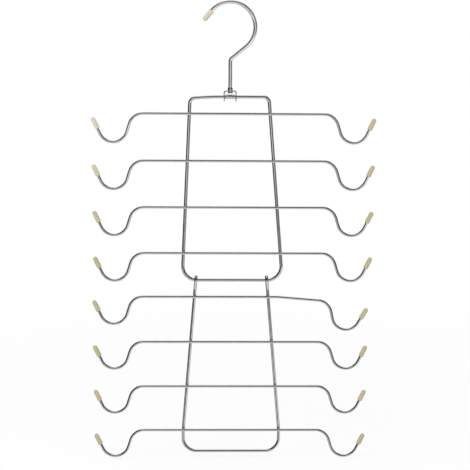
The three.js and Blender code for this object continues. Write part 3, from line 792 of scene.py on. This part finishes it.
# %% Lower frame
def lower_half(side):
    """Half of the lower frame, from the middle of its foot rail up to the end of one eye."""
    foot_x = LOWER_FOOT_MIDDLE + side * LOWER_FOOT / 2
    route = Route((LOWER_FOOT_MIDDLE, EYE_RADIUS, hinge_z - LOWER_HEIGHT), (side, 0, 0)).follow([
        (foot_x, EYE_RADIUS, hinge_z - LOWER_HEIGHT, LOWER_FOOT_BEND),
        (foot_x, EYE_RADIUS, hinge_z - LOWER_LAST_BAR, KNEE_BEND),
        (LOWER_EYES_MIDDLE + side * LOWER_EYES / 2, EYE_RADIUS, hinge_z, 0)])
    return route.bend(EYE_ANGLE, EYE_RADIUS, Vector(ACROSS).cross(route.heading)).feed(EYE_TAIL).points


lower_points = lower_half(-1)[::-1] + lower_half(1)[1:]
lower_loop = draw_wire("lower_loop", lower_points, LOWER_WIRE)
dress(lower_loop, "lower_tier", "frame_chrome", "lower_frame")

# %% [markdown]
# ## A tree that places pieces
#
# Bars, welds and tips repeat, and a loop of code could copy them one by one. A second tree does it
# in one step: it puts a copy of one piece on every point it is given, turns the piece's Z axis to
# the heading stored on the point, spins it about that axis by a random angle with a fixed seed, and
# makes the copies real. The tint stored on the point goes along to its copy.

# %% Placing tree
place_tree, given, result = new_tree("place_pieces", {
    "Piece": "Object", "Most Spin": "Float", "Seed": "Int", "Finish": "Material"})
piece_in = add(place_tree, "GeometryNodeObjectInfo", {"Object": given.outputs["Piece"], "As Instance": True})
heading = add(place_tree, "GeometryNodeInputNamedAttribute", {"Name": "heading"}, data_type="FLOAT_VECTOR")
aimed = add(place_tree, "FunctionNodeAlignRotationToVector", {"Vector": heading.outputs[0]}, axis="Z")
spin = add(place_tree, "FunctionNodeRandomValue", {
    3: given.outputs["Most Spin"], "Seed": given.outputs["Seed"]}, data_type="FLOAT")
own_turn = add(place_tree, "FunctionNodeAxisAngleToRotation", {"Axis": (0, 0, 1), "Angle": spin.outputs[1]})
full_turn = add(place_tree, "FunctionNodeRotateRotation", {
    "Rotation": aimed.outputs[0], "Rotate By": own_turn.outputs[0]}, rotation_space="LOCAL")
placed = add(place_tree, "GeometryNodeInstanceOnPoints", {
    "Points": given.outputs["Geometry"], "Instance": piece_in.outputs["Geometry"],
    "Rotation": full_turn.outputs[0]})
real = add(place_tree, "GeometryNodeRealizeInstances", {"Geometry": placed.outputs[0]})
finished = add(place_tree, "GeometryNodeSetMaterial", {
    "Geometry": real.outputs[0], "Material": given.outputs["Finish"]})
place_tree.links.new(finished.outputs[0], result.inputs[0])
print("placing tree nodes:", len(place_tree.nodes))


# %% Placing
UP = Vector((0, 0, 1))


def place_copies(name, piece, spots, finish, most_spin=0.0, seed=1):
    """Places copies of a piece on spots, each a point in millimetres, a heading and a tint."""
    mesh = bpy.data.meshes.new(name)
    mesh.from_pydata([p * MM for p, _, _ in spots], [], [])
    headings = mesh.attributes.new("heading", "FLOAT_VECTOR", "POINT")
    headings.data.foreach_set("vector", [v for _, h, _ in spots for v in h])
    tints = mesh.attributes.new("tint", "FLOAT", "POINT")
    tints.data.foreach_set("value", [t for _, _, t in spots])
    return run_tree(put_in_scene(name + "_spots", mesh), place_tree, {
        "Piece": piece, "Most Spin": most_spin, "Seed": seed, "Finish": finish}, name)


print("a copy with the heading", tuple(UP), "stands as it was drawn")

# %% [markdown]
# ## Cross bars
#
# A bar is one 3 mm wire: straight in the middle, down over a shoulder on each side, and up round a
# cup that holds the strap. Seven bars are alike, so instead of drawing each anew, one is drawn and
# placed seven times. The fifth bar's right arm droops a little from just outside the frame and is
# shorter, so that bar is drawn alone.


# %% Bars
def arm(droops=False):
    """One arm of a bar, from the bar's middle at the origin out to the end of its wire."""
    bends = math.radians(SHOULDER_ANGLE)
    straight = BAR_SPAN / 2 - (SHOULDER_BEND + CUP_BEND) * math.sin(bends) - ARM_NECK * math.cos(bends)
    route = Route((0, 0, 0), (1, 0, 0))
    if droops:
        route.feed(DROOP_START).bend(DROOP_ANGLE, DROOP_BEND).feed(straight - DROOP_START - DROOP_SHORTER)
    else:
        route.feed(straight)
    return route.bend(SHOULDER_ANGLE, SHOULDER_BEND).feed(ARM_NECK).bend(-CUP_ANGLE, CUP_BEND).feed(ARM_RISE)


def mirrored(points):
    """The same points on the other side of the middle."""
    return [Vector((-p.x, p.y, p.z)) for p in points]


plain_arm, drooping_arm = arm().points, arm(True).points
plain_bar = draw_wire("plain_bar", mirrored(plain_arm)[::-1] + plain_arm[1:], BAR_WIRE)
upper_middles = [Vector((UPPER_BARS_MIDDLE, upper_bar_y, top_rail_z - drop)) for drop in upper_drops]
lower_middles = [Vector((LOWER_BARS_MIDDLE, lower_bar_y, hinge_z - drop)) for drop in lower_drops]
upper_bars = place_copies("upper_bars", plain_bar, [(m, UP, 0) for m in upper_middles], wire_chrome)
dress(upper_bars, "upper_tier", "bar_chrome", "strap_bar_1", "strap_bar_2", "strap_bar_3", "strap_bar_4")
lower_bars = place_copies("lower_bars", plain_bar, [(m, UP, 0) for m in lower_middles[1:]], wire_chrome)
dress(lower_bars, "lower_tier", "bar_chrome", "strap_bar_6", "strap_bar_7", "strap_bar_8")
bent_line = [p + lower_middles[0] for p in mirrored(plain_arm)[::-1] + drooping_arm[1:]]
bent_bar = draw_wire("bent_bar", bent_line, BAR_WIRE)
dress(bent_bar, "lower_tier", "bar_chrome", "strap_bar_5")
bpy.data.objects.remove(plain_bar)

# %% [markdown]
# ## Welds
#
# Where a bar crosses a frame, a resistance weld squeezes a collar of metal out between the two
# wires. Its skin runs hollow from one wire to the other. The wires could be melted together by
# remeshing them, but that would spoil their clean skins. For each direction round the contact point
# the gap between the two round wires is known, so the collar starts where the gap has a set width.
# It is worked out in code once for each frame, and the placing tree puts it on all sixteen crossings.

# %% Weld collar
WELD_GAP, WELD_SINK, WELD_SIDES, WELD_STEPS, WELD_WAIST = 0.9, 0.12, 32, 6, 0.16
FIRST_REACH, REACH_STEP, MOST_REACH = 0.2, 0.02, 1.15
WIDE_WOBBLE, WIDE_WOBBLE_TURN, FINE_WOBBLE = 0.10, 0.7, 0.05


def weld_collar(name, frame_wire, bar_wire):
    """The squeezed-out metal between an upright wire behind Y = 0 and a level wire in front of it."""
    back, front = frame_wire / 2, bar_wire / 2

    def depths(reach, angle):
        """How far both round wires have fallen away from the contact plane at a place on it."""
        x, z = reach * math.cos(angle), reach * math.sin(angle)
        return back - math.sqrt(max(back ** 2 - x ** 2, 0)), front - math.sqrt(max(front ** 2 - z ** 2, 0))

    made = bmesh.new()
    rings = []
    for i in range(WELD_SIDES):
        angle = 2 * math.pi * i / WELD_SIDES
        wobble = (1 + WIDE_WOBBLE * math.sin(3 * angle + WIDE_WOBBLE_TURN)
                  + FINE_WOBBLE * math.sin(7 * angle))
        reach = FIRST_REACH
        while sum(depths(reach, angle)) < WELD_GAP * wobble and reach < min(back, front) * MOST_REACH:
            reach += REACH_STEP
        deep, shallow = depths(reach, angle)
        low, high = -shallow - WELD_SINK, deep + WELD_SINK
        ring = [made.verts.new((0, low * MM, 0))] if i == 0 else [rings[0][0]]
        for step in range(WELD_STEPS + 1):
            share = step / WELD_STEPS
            waist = 1 - WELD_WAIST * math.sin(math.pi * share)
            r, y = (reach - WELD_SINK) * waist, low + (high - low) * share
            ring.append(made.verts.new((r * math.cos(angle) * MM, y * MM, r * math.sin(angle) * MM)))
        ring.append(made.verts.new((0, high * MM, 0)) if i == 0 else rings[0][-1])
        rings.append(ring)
    for near, far in zip(rings, rings[1:] + rings[:1]):
        for k in range(WELD_STEPS + 2):
            corners = list(dict.fromkeys((near[k], near[k + 1], far[k + 1], far[k])))
            made.faces.new(corners).smooth = True
    bmesh.ops.recalc_face_normals(made, faces=made.faces)
    return piece_of(made, name)


upper_weld = weld_collar("upper_weld", UPPER_WIRE, BAR_WIRE)
lower_weld = weld_collar("lower_weld", LOWER_WIRE, BAR_WIRE)
print("weld collar in mm:", [round(length / MM, 2) for length in upper_weld.dimensions])


# %% Weld places
def leaning(z, top_x, top_z, foot_x, foot_z):
    """Where a straight side wire is at a height, and how much it leans."""
    lean = (top_x - foot_x) / (top_z - foot_z)
    return foot_x + lean * (z - foot_z), lean


def upper_sides(z):
    """The two side wires of the upper frame at a height."""
    for side, fall in ((-1, LEFT_CORNER_FALL), (1, 0)):
        yield leaning(z, UPPER_TOP_MIDDLE + side * UPPER_TOP / 2, top_rail_z - fall,
                      UPPER_FOOT_MIDDLE + side * UPPER_FOOT / 2, hinge_z)


def lower_sides(z):
    """The two side wires of the lower frame at a height."""
    for side in (-1, 1):
        yield leaning(z, LOWER_EYES_MIDDLE + side * LOWER_EYES / 2, hinge_z,
                      LOWER_FOOT_MIDDLE + side * LOWER_FOOT / 2, hinge_z - LOWER_LAST_BAR)


def crossings(middles, sides, contact_y):
    """Where bars touch both side wires. A weld leans halfway between its wire and its bar."""
    return [(Vector((x, contact_y, middle.z)), Vector((lean / 2, 0, 1)).normalized(), 0)
            for middle in middles for x, lean in sides(middle.z)]


upper_contact, lower_contact = -UPPER_WIRE / 2, EYE_RADIUS - LOWER_WIRE / 2
upper_spots = crossings(upper_middles, upper_sides, upper_contact)
lower_spots = crossings(lower_middles, lower_sides, lower_contact)
upper_welds = place_copies("upper_welds", upper_weld, upper_spots, weld_chrome)
lower_welds = place_copies("lower_welds", lower_weld, lower_spots, weld_chrome)
dress(upper_welds, "upper_tier", "frame_chrome")
dress(lower_welds, "lower_tier", "frame_chrome")
bpy.data.objects.remove(upper_weld)
bpy.data.objects.remove(lower_weld)
print("welds:", len(upper_welds.data.polygons) + len(lower_welds.data.polygons), "faces")

# %% [markdown]
# ## Soft tips
#
# A tip is a moulded cap with a rounded lip at its mouth, a straight body that tapers slightly for
# the mould, and a domed end. Stretched balls would look alike from afar, but not at the mouth. So
# one tip is turned for each wire size and placed on the wire ends, which the routes above give with
# their headings.

# %% Soft tip
LIP, LIP_SWELL, MOUTH_FLARE, TAPER = 0.35, 0.04, 0.25, 0.12
LIP_TOP, BODY_FOOT, BODY_MIDDLE = 0.9, 1.3, 6.0
DOME, DOME_STEP, DOME_POWER = 3.0, 10, 0.8


def soft_tip(name, wire, body):
    """Turns a cap whose mouth is at the origin and whose domed end points up Z."""
    bore, foot, crown = wire / 2 + PUSH_PLAY, TIP_LENGTH - TIP_END, TIP_LENGTH - DOME
    outline = [(0, foot), (bore, foot), (bore, MOUTH_FLARE), (bore + MOUTH_FLARE, 0)]
    outline += rounded(body + LIP_SWELL - LIP, LIP, LIP, -90)
    outline += [(body + LIP_SWELL, LIP_TOP), (body, BODY_FOOT)]
    outline += [(body - TAPER / 2, BODY_MIDDLE), (body - TAPER, crown)]
    for degrees in range(DOME_STEP, 90 + DOME_STEP, DOME_STEP):
        angle = math.radians(degrees)
        outline.append(((body - TAPER) * math.cos(angle) ** DOME_POWER, crown + DOME * math.sin(angle)))
    outline.append((0, TIP_LENGTH))
    return turned(name, outline, TIP_SIDES, vinyl)


def tip_spot(points, middle, tint):
    """A tip's mouth and heading from the last length of its wire."""
    heading = (points[-1] - points[-2]).normalized()
    return points[-1] + middle - heading * (TIP_LENGTH - TIP_END), heading, tint


BAR_TIP_RADIUS, HOOK_TIP_RADIUS = 2.62, 2.9
bar_tip = soft_tip("bar_tip", BAR_WIRE, BAR_TIP_RADIUS)
hook_tip = soft_tip("hook_tip_cap", HOOK_WIRE, HOOK_TIP_RADIUS)
print("tip of a bar:", len(bar_tip.data.polygons), "faces")

# %% Tips on their wires
TIP_SPIN, BAR_TIP_SEED, HOOK_TIP_SEED, DROOPING_BAR = math.tau, 7, 3, 5
# The tints of the left and the right tip of each bar, and of the hook's tip: painted light, highest at the
# top and upper left
TINTS = {1: (0.95, 0.08), 2: (0.62, 0.06), 3: (0.22, 0.0), 4: (0.0, 0.0),
         5: (0.1, 0.04), 6: (0.0, 0.0), 7: (0.2, 0.12), 8: (0.1, 0.0)}
HOOK_TINT = 0.8
spots = {"upper": [], "lower": []}
for number, middle in enumerate(upper_middles + lower_middles, 1):
    tier = "upper" if number <= BARS_PER_FRAME else "lower"
    right_arm = drooping_arm if number == DROOPING_BAR else plain_arm
    spots[tier].append(tip_spot(mirrored(plain_arm), middle, TINTS[number][0]))
    spots[tier].append(tip_spot(right_arm, middle, TINTS[number][1]))

for tier, first in (("upper", 1), ("lower", 1 + BARS_PER_FRAME)):
    numbers = range(first, first + BARS_PER_FRAME)
    tips = place_copies(f"{tier}_tips", bar_tip, spots[tier], vinyl, TIP_SPIN, BAR_TIP_SEED)
    dress(tips, f"{tier}_tier", "tip_vinyl", *[
        f"bar_{number}_tip_{side}" for number in numbers for side in ("left", "right")])
hook_spot = tip_spot(hook_route.points, Vector(), HOOK_TINT)
hook_cap = place_copies("hook_cap", hook_tip, [hook_spot], vinyl, TIP_SPIN, HOOK_TIP_SEED)
dress(hook_cap, "hook", "tip_vinyl", "hook_tip")
bpy.data.objects.remove(bar_tip)
bpy.data.objects.remove(hook_tip)
